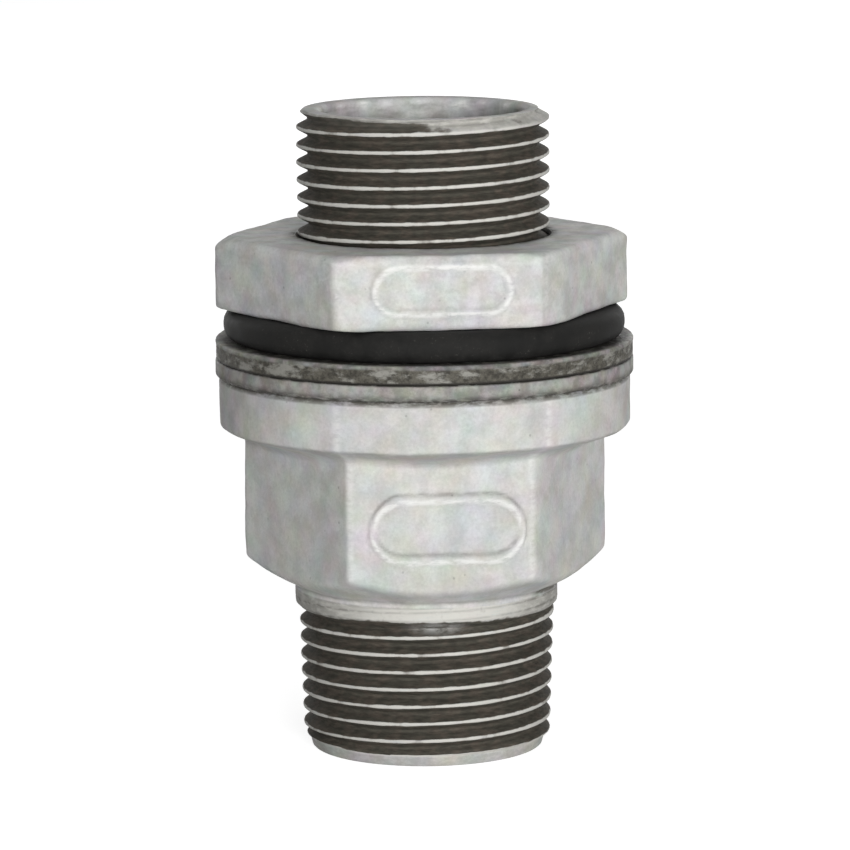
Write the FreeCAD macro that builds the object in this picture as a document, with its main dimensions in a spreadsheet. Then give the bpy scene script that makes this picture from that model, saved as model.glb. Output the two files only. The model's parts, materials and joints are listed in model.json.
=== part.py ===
import FreeCAD, Part
import os
import Sketcher

# A 1 inch tank connector: a threaded casting with a flange and a spanner hexagon, two steel
# washers, a rubber gasket and a backnut. The tank wall is clamped between flange and backnut.
# The origin is the centre of the lower end, +Z runs up the barrel, and a hexagon flat faces -Y.

SIZES = {
    # pipe thread form, 11 turns to the inch and 55 degrees, the same at both ends
    "thread_pitch": 2.309,
    "thread_depth": 1.479,
    "root_width": 0.385,
    "flank_angle": 27.5,
    "groove_overcut": 0.3,
    # parallel barrel, with the depth of the first crest on the +X side given from the top end
    "barrel_radius": 16.6245,
    "barrel_length": 34.9,
    "barrel_chamfer": 0.9,
    "barrel_first_crest": 1.19,
    "barrel_plain_length": 2,
    # the iron left between a thread root and the water way, and the break of the bore's edges
    "barrel_wall": 1.6455,
    "bore_chamfer": 0.5,
    # round flange, whose underside slopes in to the hexagon
    "flange_overhang": 3.02,
    "flange_rim_height": 6.9,
    "flange_underside_rise": 2.3,
    "flange_edge_round": 0.8,
    # spanner hexagon of the casting, how far its flats stand out from the neck, and its cone
    "hexagon_stand": 3.45,
    "hexagon_height": 21.05,
    "hexagon_corner_round": 1.2,
    "cone_rise_angle": 27.5,
    # neck above the taper thread
    "neck_step": 0.48,
    "neck_shoulder": 0.5,
    "neck_length": 2.55,
    # taper thread: the barrel's size at the gauge length, and its first crest on the +X side
    "taper_length": 19.1,
    "taper_gauge_length": 8.1,
    "taper_half_angle": 1.79,
    "taper_first_crest": 1.9,
    "run_out_angle": 55,
    # plain nose at the lower end, a little under the thread
    "nose_step": 1.07,
    "nose_length": 1.5,
    "nose_flare": 0.4,
    # washers and gasket, from the flange up
    "washer_overhang": 0.5,
    "washer_clearance": 0.475,
    "washer_edge_round": 0.35,
    "thin_washer_height": 2.2,
    "thick_washer_height": 2.5,
    "gasket_inset": 1.15,
    "gasket_clearance": 0.375,
    "gasket_height": 3.95,
    "gasket_edge_round": 1.7,
    # backnut, threaded to the barrel with a clearance on every flank
    "nut_wall": 7.25,
    "nut_height": 9.75,
    "nut_clocking": 0.5,
    "nut_corner_round": 2,
    "nut_chamfer_inset": 1.4,
    "nut_top_chamfer_drop": 0.9,
    "nut_bottom_chamfer_drop": 0.3,
    "nut_hole_chamfer": 1.6,
    "thread_clearance": 0.15,
    # raised capsule outlines on the front flats, bare inside
    "bead_height": 0.4,
    "bead_width": 1.4,
    "casting_capsule_shift": 0.8,
    "casting_capsule_side_margin": 1.77,
    "casting_capsule_height": 9.3,
    "casting_capsule_rise": 0.04,
    "nut_capsule_shift": -0.1,
    "nut_capsule_rise": 0.5,
    "nut_capsule_side_margin": 4.45,
    "nut_capsule_end_margin": 1.175,
}

# Sizes that follow from the ones above, as expressions over the sheet.
GROOVE_SPREAD = "(2 * Sizes.thread_depth * tan(Sizes.flank_angle))"
CREST_WIDTH = f"(Sizes.thread_pitch - Sizes.root_width - {GROOVE_SPREAD})"
BORE_RADIUS = "(Sizes.barrel_radius - Sizes.thread_depth - Sizes.barrel_wall)"
TAPER_SLOPE = "tan(Sizes.taper_half_angle)"
TAPER_END_RADIUS = f"(Sizes.barrel_radius - Sizes.taper_gauge_length * {TAPER_SLOPE})"
TAPER_TOP_RADIUS = f"({TAPER_END_RADIUS} + Sizes.taper_length * {TAPER_SLOPE})"
NECK_RADIUS = f"({TAPER_TOP_RADIUS} + Sizes.neck_step)"
HEXAGON_APOTHEM = f"({NECK_RADIUS} + Sizes.hexagon_stand)"
HEXAGON_CORNER = f"({HEXAGON_APOTHEM} / cos(30))"
FLANGE_RADIUS = f"({HEXAGON_CORNER} + Sizes.flange_overhang)"
WASHER_RADIUS = f"({FLANGE_RADIUS} + Sizes.washer_overhang)"
NUT_APOTHEM = "(Sizes.barrel_radius + Sizes.nut_wall)"
NUT_CORNER = f"({NUT_APOTHEM} / cos(30))"

# Heights up the stack.
SHOULDER = "(Sizes.taper_length + Sizes.neck_shoulder)"
CONE_FOOT = f"({SHOULDER} + Sizes.neck_length)"
FLANGE_BOTTOM = f"({CONE_FOOT} + Sizes.hexagon_height)"
UNDERSIDE_FOOT = f"({FLANGE_BOTTOM} - Sizes.flange_underside_rise)"
FLANGE_TOP = f"({FLANGE_BOTTOM} + Sizes.flange_rim_height)"
THICK_WASHER_BASE = f"({FLANGE_TOP} + Sizes.thin_washer_height)"
GASKET_BASE = f"({THICK_WASHER_BASE} + Sizes.thick_washer_height)"
NUT_BASE = f"({GASKET_BASE} + Sizes.gasket_height)"
TOP = f"({FLANGE_TOP} + Sizes.barrel_length)"

# The lowest groove of the barrel starts on the +X side, a whole number of turns and a half
# below the first crest, and clear of the flange by the plain length.
BARREL_RUN = (
    "(Sizes.barrel_length - Sizes.barrel_first_crest - Sizes.barrel_plain_length)"
)
BARREL_TURNS = f"(floor({BARREL_RUN} / Sizes.thread_pitch - 0.5) + 0.5)"
BARREL_GROOVE_START = (
    f"({TOP} - Sizes.barrel_first_crest - {BARREL_TURNS} * Sizes.thread_pitch)"
)

doc = FreeCAD.newDocument("TankConnector")
sheet = doc.addObject("Spreadsheet::Sheet", "Sizes")
for row, (alias, size) in enumerate(SIZES.items(), start=1):
    sheet.set(f"A{row}", alias)
    sheet.set(f"B{row}", str(size))
    sheet.setAlias(f"B{row}", alias)
doc.recompute()


def value_of(expression):
    """The number that an expression over the sheet gives now."""
    result = sheet.evalExpression(expression)
    return float(getattr(result, "Value", result))


def new_body(label):
    """An empty body that carries one piece."""
    body = doc.addObject("PartDesign::Body", label)
    body.Label = label
    return body


def attach(feature, body, role):
    """Lay a sketch or primitive on one of its own body's origin planes."""
    plane = next(item for item in body.Origin.OriginFeatures if item.Role == role)
    feature.AttachmentSupport = [(plane, "")]
    feature.MapMode = "FlatFace"


def fix_distance(sketch, kind, geometry, position, expression):
    """Tie one coordinate of a sketch's point to an expression, measured from the origin."""
    rule = Sketcher.Constraint(kind, -1, 1, geometry, position, value_of(expression))
    number = sketch.addConstraint(rule)
    sketch.setExpression(f"Constraints[{number}]", expression)


def fix_point(sketch, geometry, position, corner):
    """Tie a point of a sketch to a pair of expressions."""
    fix_distance(sketch, "DistanceX", geometry, position, corner[0])
    fix_distance(sketch, "DistanceY", geometry, position, corner[1])


def close_loop(sketch, first, count):
    """Join each line or arc of a closed outline to the next."""
    for number in range(count):
        here = first + number
        following = first + (number + 1) % count
        sketch.addConstraint(Sketcher.Constraint("Coincident", here, 2, following, 1))


def draw_outline(body, name, corners):
    """A closed outline of straight lines in the upright XZ plane, as radius and height pairs."""
    sketch = body.newObject("Sketcher::SketchObject", name)
    attach(sketch, body, "XZ_Plane")
    places = [FreeCAD.Vector(value_of(x), value_of(z), 0) for x, z in corners]
    count = len(places)
    for number in range(count):
        line = Part.LineSegment(places[number], places[(number + 1) % count])
        sketch.addGeometry(line, False)
    close_loop(sketch, 0, count)
    for number, corner in enumerate(corners):
        fix_point(sketch, number, 1, corner)
    return sketch


def turn(body, name, corners, kind="PartDesign::Revolution"):
    """Turn an outline about the vertical axis, as a solid or, with a Groove, as a cut."""
    sketch = draw_outline(body, name + "_outline", corners)
    doc.recompute()
    turned = body.newObject(kind, name)
    turned.Profile = sketch
    turned.ReferenceAxis = (sketch, ["V_Axis"])
    turned.Angle = 360
    doc.recompute()
    return turned


def add_hexagon(body, name, corner_radius, height, base, clocking="0"):
    """A hexagonal prism with a flat towards -Y, turned about its axis by the clocking angle."""
    prism = body.newObject("PartDesign::AdditivePrism", name)
    attach(prism, body, "XY_Plane")
    prism.Polygon = 6
    prism.setExpression("Circumradius", corner_radius)
    prism.setExpression("Height", height)
    prism.setExpression("AttachmentOffset.Base.z", base)
    prism.setExpression("AttachmentOffset.Rotation.Angle", clocking)
    doc.recompute()


def drill(body, name, radius, height):
    """A round hole on the axis, cut past both ends of the piece."""
    hole = body.newObject("PartDesign::SubtractiveCylinder", name)
    attach(hole, body, "XY_Plane")
    hole.setExpression("Radius", radius)
    hole.setExpression("Height", f"{height} + 2")
    hole.setExpression("AttachmentOffset.Base.z", "-1")
    doc.recompute()


def is_upright_corner(edge):
    """A straight edge that runs up the piece."""
    if edge.Curve.TypeId != "Part::GeomLine":
        return False
    return abs(edge.Curve.Direction.z) > 0.999


def is_ring(edge, radius):
    """A full circle of this radius about the vertical axis."""
    if edge.Curve.TypeId != "Part::GeomCircle":
        return False
    return edge.Closed and abs(edge.Curve.Radius - value_of(radius)) < 0.001


def break_edges(body, name, kind, size, wanted):
    """Fillet or chamfer the edges for which wanted(edge) is true, on the body as it stands."""
    base = body.Tip
    edges = enumerate(base.Shape.Edges, start=1)
    names = [f"Edge{number}" for number, edge in edges if wanted(edge)]
    feature = body.newObject(f"PartDesign::{kind}", name)
    feature.Base = (base, names)
    feature.setExpression("Radius" if kind == "Fillet" else "Size", size)
    doc.recompute()


def cut_thread(body, name, corners, length, half_angle="0"):
    """Run a groove outline up a right-hand helix about the vertical axis."""
    sketch = draw_outline(body, name + "_outline", corners)
    doc.recompute()
    groove = body.newObject("PartDesign::SubtractiveHelix", name)
    groove.Profile = sketch
    groove.ReferenceAxis = (sketch, ["V_Axis"])
    groove.Mode = "pitch-height-angle"
    groove.setExpression("Pitch", "Sizes.thread_pitch")
    groove.setExpression("Height", length)
    groove.setExpression("Angle", half_angle)
    groove.LeftHanded = False
    groove.Reversed = False
    doc.recompute()


def outer_groove(crest_radius, middle):
    """The outline of a groove cut into a shaft: narrow at the root, open past the crest."""
    root = f"{crest_radius} - Sizes.thread_depth"
    mouth = f"{crest_radius} + Sizes.groove_overcut"
    half_root = "Sizes.root_width / 2"
    reach = "(Sizes.thread_depth + Sizes.groove_overcut) * tan(Sizes.flank_angle)"
    half_mouth = f"({half_root} + {reach})"
    return [
        (root, f"{middle} - {half_root}"),
        (root, f"{middle} + {half_root}"),
        (mouth, f"{middle} + {half_mouth}"),
        (mouth, f"{middle} - {half_mouth}"),
    ]


def draw_capsule(sketch, shift, reach, radius, middle):
    """Two level lines joined by half circles, about a middle shifted along the flat."""
    left = f"{shift} - {reach}"
    right = f"{shift} + {reach}"
    bottom = f"{middle} - {radius}"
    top = f"{middle} + {radius}"
    first = sketch.GeometryCount
    centre_left = FreeCAD.Vector(value_of(left), value_of(middle), 0)
    centre_right = FreeCAD.Vector(value_of(right), value_of(middle), 0)
    up = FreeCAD.Vector(0, value_of(radius), 0)
    out = FreeCAD.Vector(value_of(radius), 0, 0)
    right_end = Part.Arc(centre_right - up, centre_right + out, centre_right + up)
    left_end = Part.Arc(centre_left + up, centre_left - out, centre_left - up)
    sketch.addGeometry(Part.LineSegment(centre_left - up, centre_right - up), False)
    sketch.addGeometry(right_end, False)
    sketch.addGeometry(Part.LineSegment(centre_right + up, centre_left + up), False)
    sketch.addGeometry(left_end, False)
    close_loop(sketch, first, 4)
    fix_point(sketch, first, 1, (left, bottom))
    fix_point(sketch, first, 2, (right, bottom))
    fix_point(sketch, first + 2, 1, (right, top))
    fix_point(sketch, first + 2, 2, (left, top))
    fix_distance(sketch, "DistanceX", first + 1, 3, right)
    fix_distance(sketch, "DistanceX", first + 3, 3, left)


def raise_capsule(body, name, apothem, shift, side_margin, height, middle):
    """A raised capsule-shaped bead on the flat that faces -Y, with nothing inside it."""
    length = f"(2 * {apothem} * tan(30) - 2 * {side_margin})"
    reach = f"({length} / 2 - {height} / 2)"
    sketch = body.newObject("Sketcher::SketchObject", name + "_outline")
    attach(sketch, body, "XZ_Plane")
    sketch.setExpression("AttachmentOffset.Base.z", apothem)
    draw_capsule(sketch, shift, reach, f"({height} / 2)", middle)
    draw_capsule(sketch, shift, reach, f"({height} / 2 - Sizes.bead_width)", middle)
    doc.recompute()
    bead = body.newObject("PartDesign::Pad", name)
    bead.Profile = sketch
    bead.Midplane = True
    bead.setExpression("Length", "2 * Sizes.bead_height")
    doc.recompute()


def cut_lower_cone(body):
    """Trim the foot of the hexagon to a cone that narrows to the neck."""
    outside = f"({HEXAGON_CORNER} + 2)"
    slope = f"({outside} - {NECK_RADIUS}) * tan(Sizes.cone_rise_angle)"
    turn(
        body,
        "lower_cone",
        [
            (NECK_RADIUS, CONE_FOOT),
            (outside, f"{CONE_FOOT} + {slope}"),
            (outside, f"{CONE_FOOT} - 1"),
            (NECK_RADIUS, f"{CONE_FOOT} - 1"),
        ],
        "PartDesign::Groove",
    )


def turn_round_shape(body):
    """Everything round on the casting: nose, taper, neck, flange and barrel."""
    core = f"({HEXAGON_APOTHEM} - 1)"
    nose = f"({TAPER_END_RADIUS} - Sizes.nose_step)"
    turn(
        body,
        "round_shape",
        [
            ("0", "0"),
            (nose, "0"),
            (f"{nose} + Sizes.nose_flare", "Sizes.nose_length"),
            (TAPER_END_RADIUS, "Sizes.nose_length + Sizes.nose_flare"),
            (TAPER_TOP_RADIUS, "Sizes.taper_length"),
            (NECK_RADIUS, SHOULDER),
            (NECK_RADIUS, CONE_FOOT),
            (core, f"{CONE_FOOT} + ({core} - {NECK_RADIUS}) * tan(Sizes.cone_rise_angle)"),
            (core, UNDERSIDE_FOOT),
            (FLANGE_RADIUS, FLANGE_BOTTOM),
            (FLANGE_RADIUS, FLANGE_TOP),
            ("Sizes.barrel_radius", FLANGE_TOP),
            ("Sizes.barrel_radius", f"{TOP} - Sizes.barrel_chamfer"),
            ("Sizes.barrel_radius - Sizes.barrel_chamfer", TOP),
            ("0", TOP),
        ],
    )
    rounding = "Sizes.flange_edge_round"
    break_edges(body, "flange_edges", "Fillet", rounding, lambda e: is_ring(e, FLANGE_RADIUS))


def cut_taper_thread(body):
    """The taper thread, from below the lower end up to the neck, where it spirals out."""
    start = "(Sizes.taper_first_crest - 1.5 * Sizes.thread_pitch)"
    turns = f"ceil((Sizes.taper_length - {start}) / Sizes.thread_pitch)"
    start_radius = f"({TAPER_END_RADIUS} + {start} * {TAPER_SLOPE})"
    rise = f"({turns} * Sizes.thread_pitch)"
    outline = outer_groove(start_radius, start)
    cut_thread(body, "taper_thread", outline, rise, "Sizes.taper_half_angle")
    end = f"({start} + {rise})"
    end_radius = f"({start_radius} + {rise} * {TAPER_SLOPE})"
    outline = outer_groove(end_radius, end)
    cut_thread(body, "taper_run_out", outline, "Sizes.thread_pitch", "Sizes.run_out_angle")


def build_fitting_body():
    """The casting, from the taper thread at the foot to the open end of the barrel."""
    body = new_body("fitting_body")
    add_hexagon(body, "spanner_hexagon", HEXAGON_CORNER, "Sizes.hexagon_height", CONE_FOOT)
    rounding = "Sizes.hexagon_corner_round"
    break_edges(body, "hexagon_corners", "Fillet", rounding, is_upright_corner)
    cut_lower_cone(body)
    turn_round_shape(body)
    cone_top = f"({CONE_FOOT} + Sizes.hexagon_stand * tan(Sizes.cone_rise_angle))"
    raise_capsule(
        body,
        "casting_capsule",
        HEXAGON_APOTHEM,
        "Sizes.casting_capsule_shift",
        "Sizes.casting_capsule_side_margin",
        "Sizes.casting_capsule_height",
        f"(({cone_top} + {UNDERSIDE_FOOT}) / 2 + Sizes.casting_capsule_rise)",
    )
    drill(body, "water_way", BORE_RADIUS, TOP)
    edge_size = "Sizes.bore_chamfer"
    break_edges(body, "bore_edges", "Chamfer", edge_size, lambda e: is_ring(e, BORE_RADIUS))
    cut_thread(
        body,
        "barrel_thread",
        outer_groove("Sizes.barrel_radius", BARREL_GROOVE_START),
        f"({BARREL_TURNS} + 1.5) * Sizes.thread_pitch + Sizes.barrel_first_crest",
    )
    cut_taper_thread(body)
    return body


def build_ring(label, radius, clearance, height, edge_round, base):
    """A flat ring around the barrel with rounded outer edges, seated at the base height."""
    body = new_body(label)
    hole = f"Sizes.barrel_radius + {clearance}"
    corners = [(hole, "0"), (radius, "0"), (radius, height), (hole, height)]
    turn(body, label + "_section", corners)
    break_edges(body, label + "_edges", "Fillet", edge_round, lambda e: is_ring(e, radius))
    body.setExpression("Placement.Base.z", base)
    doc.recompute()
    return body


def chamfer_nut(body):
    """Trim the nut's corners to a cone at the top and a lower one at the bottom."""
    inner = f"({NUT_CORNER} - Sizes.nut_chamfer_inset)"
    outer = f"({NUT_CORNER} + Sizes.nut_chamfer_inset)"
    top = "Sizes.nut_height"
    turn(
        body,
        "nut_top_chamfer",
        [
            (inner, top),
            (outer, f"{top} - 2 * Sizes.nut_top_chamfer_drop"),
            (outer, f"{top} + 1"),
            (inner, f"{top} + 1"),
        ],
        "PartDesign::Groove",
    )
    turn(
        body,
        "nut_bottom_chamfer",
        [
            (inner, "0"),
            (inner, "-1"),
            (outer, "-1"),
            (outer, "2 * Sizes.nut_bottom_chamfer_drop"),
        ],
        "PartDesign::Groove",
    )


def cut_nut_thread(body, hole):
    """The inside thread: each groove holds a crest of the barrel with the thread clearance."""
    phase = f"mod({BARREL_GROOVE_START} + Sizes.thread_pitch / 2 - {NUT_BASE}, Sizes.thread_pitch)"
    start = f"({phase} - 2 * Sizes.thread_pitch)"
    root = "(Sizes.barrel_radius + Sizes.thread_clearance)"
    mouth = f"({hole} - Sizes.groove_overcut)"
    half_root = f"({CREST_WIDTH} / 2 + Sizes.thread_clearance / cos(Sizes.flank_angle))"
    half_mouth = f"({half_root} + (Sizes.barrel_radius - {mouth}) * tan(Sizes.flank_angle))"
    outline = [
        (mouth, f"{start} - {half_mouth}"),
        (root, f"{start} - {half_root}"),
        (root, f"{start} + {half_root}"),
        (mouth, f"{start} + {half_mouth}"),
    ]
    cut_thread(body, "nut_thread", outline, "Sizes.nut_height + 4 * Sizes.thread_pitch")


def build_backnut():
    """The hexagon nut, threaded to match the barrel where it rests on the gasket."""
    body = new_body("backnut")
    body.setExpression("Placement.Base.z", NUT_BASE)
    height = "Sizes.nut_height"
    add_hexagon(body, "nut_hexagon", NUT_CORNER, height, "0", "Sizes.nut_clocking")
    rounding = "Sizes.nut_corner_round"
    break_edges(body, "nut_corners", "Fillet", rounding, is_upright_corner)
    chamfer_nut(body)
    raise_capsule(
        body,
        "nut_capsule",
        NUT_APOTHEM,
        "Sizes.nut_capsule_shift",
        "Sizes.nut_capsule_side_margin",
        f"({height} - 2 * Sizes.nut_capsule_end_margin)",
        f"({height} / 2 + Sizes.nut_capsule_rise)",
    )
    hole = "(Sizes.barrel_radius - Sizes.thread_depth + Sizes.thread_clearance)"
    drill(body, "nut_hole", hole, height)
    edge_size = "Sizes.nut_hole_chamfer"
    break_edges(body, "nut_hole_edges", "Chamfer", edge_size, lambda e: is_ring(e, hole))
    cut_nut_thread(body, hole)
    return body


def build_all():
    """Every piece, stacked from the casting's flange up."""
    edge = "Sizes.washer_edge_round"
    gap = "Sizes.washer_clearance"
    thin = "Sizes.thin_washer_height"
    thick = "Sizes.thick_washer_height"
    gasket_radius = f"({WASHER_RADIUS} - Sizes.gasket_inset)"
    return [
        build_fitting_body(),
        build_ring("thin_washer", WASHER_RADIUS, gap, thin, edge, FLANGE_TOP),
        build_ring("thick_washer", WASHER_RADIUS, gap, thick, edge, THICK_WASHER_BASE),
        build_ring(
            "rubber_gasket",
            gasket_radius,
            "Sizes.gasket_clearance",
            "Sizes.gasket_height",
            "Sizes.gasket_edge_round",
            GASKET_BASE,
        ),
        build_backnut(),
    ]


def check_document(pieces):
    """Stop if any feature failed or any piece is not one valid solid."""
    doc.recompute()
    for item in doc.Objects:
        if "Invalid" in item.State or "Error" in item.State:
            raise RuntimeError(f"{item.Label} failed: {item.State}")
    for piece in pieces:
        shape = piece.Shape
        if shape.isNull() or not shape.isValid():
            raise RuntimeError(f"{piece.Label} has no valid shape")
        if len(shape.Solids) != 1:
            raise RuntimeError(f"{piece.Label} is {len(shape.Solids)} solids, not one")


pieces = build_all()
check_document(pieces)
os.makedirs("parts", exist_ok=True)
for piece in pieces:
    piece.Shape.exportStep(f"parts/{piece.Label}.step")
    print(f"{piece.Label}: {piece.Shape.Volume:.1f} mm3, {len(piece.Shape.Faces)} faces")
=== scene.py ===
import json
from math import atan, cos, pi, radians, sin, sqrt, tan

import bpy
import numpy as np
from mathutils import Matrix, Vector, noise


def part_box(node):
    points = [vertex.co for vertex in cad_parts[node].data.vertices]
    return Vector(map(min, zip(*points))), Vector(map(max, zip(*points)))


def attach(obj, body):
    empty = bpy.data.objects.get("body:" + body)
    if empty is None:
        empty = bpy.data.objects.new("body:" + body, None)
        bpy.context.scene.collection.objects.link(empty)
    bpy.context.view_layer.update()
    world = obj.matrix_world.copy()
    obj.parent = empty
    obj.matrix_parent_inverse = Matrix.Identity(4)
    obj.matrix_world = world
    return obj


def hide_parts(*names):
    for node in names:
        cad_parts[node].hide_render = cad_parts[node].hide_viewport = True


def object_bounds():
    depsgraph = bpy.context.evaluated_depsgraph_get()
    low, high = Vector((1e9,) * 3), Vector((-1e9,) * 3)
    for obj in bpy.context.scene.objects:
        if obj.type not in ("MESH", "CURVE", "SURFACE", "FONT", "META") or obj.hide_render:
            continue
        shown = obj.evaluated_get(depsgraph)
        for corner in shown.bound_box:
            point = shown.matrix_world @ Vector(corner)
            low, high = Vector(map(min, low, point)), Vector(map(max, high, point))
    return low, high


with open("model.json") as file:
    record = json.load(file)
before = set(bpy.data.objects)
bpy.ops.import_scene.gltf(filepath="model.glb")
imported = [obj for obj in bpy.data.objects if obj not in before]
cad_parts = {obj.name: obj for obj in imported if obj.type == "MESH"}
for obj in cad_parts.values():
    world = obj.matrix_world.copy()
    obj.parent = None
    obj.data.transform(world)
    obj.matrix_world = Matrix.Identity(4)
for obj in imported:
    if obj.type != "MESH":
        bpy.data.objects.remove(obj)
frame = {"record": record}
cad_low, cad_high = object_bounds()
scene = bpy.context.scene
scene.view_settings.view_transform = "Standard"

# ---- Camera ------------------------------------------------------------------------------------
# A long lens two thirds of a metre off, a little above the fitting and a little to the left of the
# spanner flat that faces -Y. It looks at the middle of the fitting and leans by half a degree.
EYE_DISTANCE = 0.687
EYE_AZIMUTH = radians(-5.57)
EYE_ELEVATION = radians(9.31)
EYE_LEAN = radians(-0.45)
EYE_RISE = 0.0003


def direction(azimuth, elevation):
    """The way from the fitting to something that stands round it; azimuth 0 is in front, at -Y."""
    level = cos(elevation)
    return Vector((sin(azimuth) * level, -cos(azimuth) * level, sin(elevation)))


middle = (cad_low + cad_high) / 2 + Vector((0, 0, EYE_RISE))
lens = bpy.data.cameras.new("camera")
lens.lens = 219.6
lens.sensor_width = 36
camera = bpy.data.objects.new("camera", lens)
scene.collection.objects.link(camera)
toward = direction(EYE_AZIMUTH, EYE_ELEVATION)
aim = (-toward).to_track_quat("-Z", "Y").to_matrix() @ Matrix.Rotation(EYE_LEAN, 3, "Z")
camera.location = middle + toward * EYE_DISTANCE
camera.rotation_euler = aim.to_euler()
scene.camera = camera

# ---- Table and studio light --------------------------------------------------------------------
# A white table and white surroundings, which the eye and reflections see at full white, while
# they light the fitting only softly. The table keeps the fitting's shadow.
AROUND_LIGHT = 0.05
TABLE_RADIUS = 6.0
TABLE_SIDES = 96
TABLE_LIT = (0.7, 0.7, 0.7, 1)
TABLE_SEEN = (0.5, 0.5, 0.5, 1)
TABLE_GLOW = (0.86, 0.86, 0.86, 1)


def seen_directly(nodes, links):
    """1 where an eye, a reflection or a ray through glass looks, 0 where light spreads."""
    path = nodes.new("ShaderNodeLightPath")
    total = path.outputs["Is Camera Ray"]
    for name in ("Is Glossy Ray", "Is Transmission Ray"):
        either = nodes.new("ShaderNodeMath")
        either.operation = "MAXIMUM"
        links.new(total, either.inputs[0])
        links.new(path.outputs[name], either.inputs[1])
        total = either.outputs[0]
    return total


surroundings = bpy.data.worlds.new("surroundings")
surroundings.use_nodes = True
scene.world = surroundings
nodes, links = surroundings.node_tree.nodes, surroundings.node_tree.links
strength = nodes.new("ShaderNodeMapRange")
strength.inputs["To Min"].default_value = AROUND_LIGHT
strength.inputs["To Max"].default_value = 1
links.new(seen_directly(nodes, links), strength.inputs["Value"])
nodes["Background"].inputs["Color"].default_value = (1, 1, 1, 1)
links.new(strength.outputs["Result"], nodes["Background"].inputs["Strength"])

white_table = bpy.data.materials.new("white_table")
white_table.use_nodes = True
nodes, links = white_table.node_tree.nodes, white_table.node_tree.links
nodes.remove(nodes["Principled BSDF"])
card = nodes.new("ShaderNodeBsdfDiffuse")
card.inputs["Color"].default_value = TABLE_LIT
faint_card = nodes.new("ShaderNodeBsdfDiffuse")
faint_card.inputs["Color"].default_value = TABLE_SEEN
glow = nodes.new("ShaderNodeEmission")
glow.inputs["Color"].default_value = TABLE_GLOW
shown = nodes.new("ShaderNodeAddShader")
links.new(faint_card.outputs["BSDF"], shown.inputs[0])
links.new(glow.outputs["Emission"], shown.inputs[1])
lit_or_seen = nodes.new("ShaderNodeMixShader")
links.new(seen_directly(nodes, links), lit_or_seen.inputs["Fac"])
links.new(card.outputs["BSDF"], lit_or_seen.inputs[1])
links.new(shown.outputs["Shader"], lit_or_seen.inputs[2])
links.new(lit_or_seen.outputs["Shader"], nodes["Material Output"].inputs["Surface"])

table_mesh = bpy.data.meshes.new("table")
ways = [2 * pi * side / TABLE_SIDES for side in range(TABLE_SIDES)]
round_edge = [(TABLE_RADIUS * cos(way), TABLE_RADIUS * sin(way), 0) for way in ways]
table_mesh.from_pydata(round_edge, [], [list(range(TABLE_SIDES))])
table_mesh.materials.append(white_table)
table = bpy.data.objects.new("table", table_mesh)
scene.collection.objects.link(table)


def softbox(name, azimuth, elevation, distance, width, height, watts):
    """A soft rectangular lamp that stands round the fitting and faces it."""
    lamp = bpy.data.lights.new(name, "AREA")
    lamp.shape = "RECTANGLE"
    lamp.size, lamp.size_y = width, height
    lamp.energy = watts
    stand = bpy.data.objects.new(name, lamp)
    scene.collection.objects.link(stand)
    way = direction(radians(azimuth), radians(elevation))
    stand.location = middle + way * distance
    stand.rotation_euler = (-way).to_track_quat("-Z", "Y").to_euler()
    stand.visible_camera = False


softbox("front_softbox", azimuth=6.5, elevation=7.5, distance=1.1, width=0.3, height=0.2, watts=11.7)
softbox("top_softbox", azimuth=10, elevation=86, distance=0.9, width=0.5, height=0.5, watts=1.55)
softbox("rear_softbox_right", azimuth=160, elevation=12, distance=1.2, width=0.5, height=0.4, watts=2.5)
softbox("rear_softbox_left", azimuth=205, elevation=12, distance=1.2, width=0.5, height=0.4, watts=2.3)

# ---- Casting -----------------------------------------------------------------------------------
# The body is one malleable iron casting: spanner hexagon, flange and barrel, bored through. It is
# dipped in zinc, and then both pipe threads are cut, so their grooves show bare dark iron and
# only their crests shine. Sizes in this section and the next ones are in millimetres.
MM = 0.001
THREAD_PITCH = 2.309
THREAD_DEPTH = 1.479
ROOT_WIDTH = 0.385
FLANK = tan(radians(27.5))
THREAD_ROUND = 0.25
mounts = {mount["name"]: mount["dims"] for mount in frame["record"]["mounts"]}
BARREL_RADIUS = mounts["barrel_thread"]["r_mm"]
BORE_RADIUS = mounts["water_way"]["r_mm"]
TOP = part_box("fitting_body")[1].z / MM
END_CHAMFER = 0.9
BORE_CHAMFER = 0.5
BORE_EDGE = BORE_RADIUS + BORE_CHAMFER
TAPER_LENGTH = mounts["taper_thread"]["length_mm"]
TAPER_SLOPE = tan(radians(1.79))
GAUGE_LENGTH = 8.1
TAPER_END_RADIUS = BARREL_RADIUS - GAUGE_LENGTH * TAPER_SLOPE
NOSE_LENGTH = 1.5
NOSE_INSET = 1.07
NOSE_RADIUS = TAPER_END_RADIUS - NOSE_INSET
NOSE_FLARE = 0.4
NOSE_SPREAD = 1.7
FLANGE_RADIUS = mounts["tank_wall_seat"]["r_mm"]
FLANGE_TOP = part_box("thin_washer")[0].z / MM
FLANGE_THICKNESS = 6.9
FLANGE_BOTTOM = FLANGE_TOP - FLANGE_THICKNESS
FLANGE_ROUND = 0.8
UNDERSIDE_DROP = 2.3
UNDERSIDE_FOOT = FLANGE_BOTTOM - UNDERSIDE_DROP
UNDERSIDE_FILLET = 3.4
NECK_STEP = 0.48
NECK_LENGTH = 2.55
SHOULDER_LENGTH = 0.5
NECK_SHOULDER = TAPER_LENGTH + SHOULDER_LENGTH
NECK_RADIUS = TAPER_END_RADIUS + TAPER_LENGTH * TAPER_SLOPE + NECK_STEP
CONE_FOOT = NECK_SHOULDER + NECK_LENGTH
CONE_SLOPE = tan(radians(27.5))
HEXAGON_WALL = 3.45
HEXAGON_APOTHEM = NECK_RADIUS + HEXAGON_WALL
HEXAGON_ROUND = 1.2
CORE_INSET = 1
CORE_RADIUS = HEXAGON_APOTHEM - CORE_INSET
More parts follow.
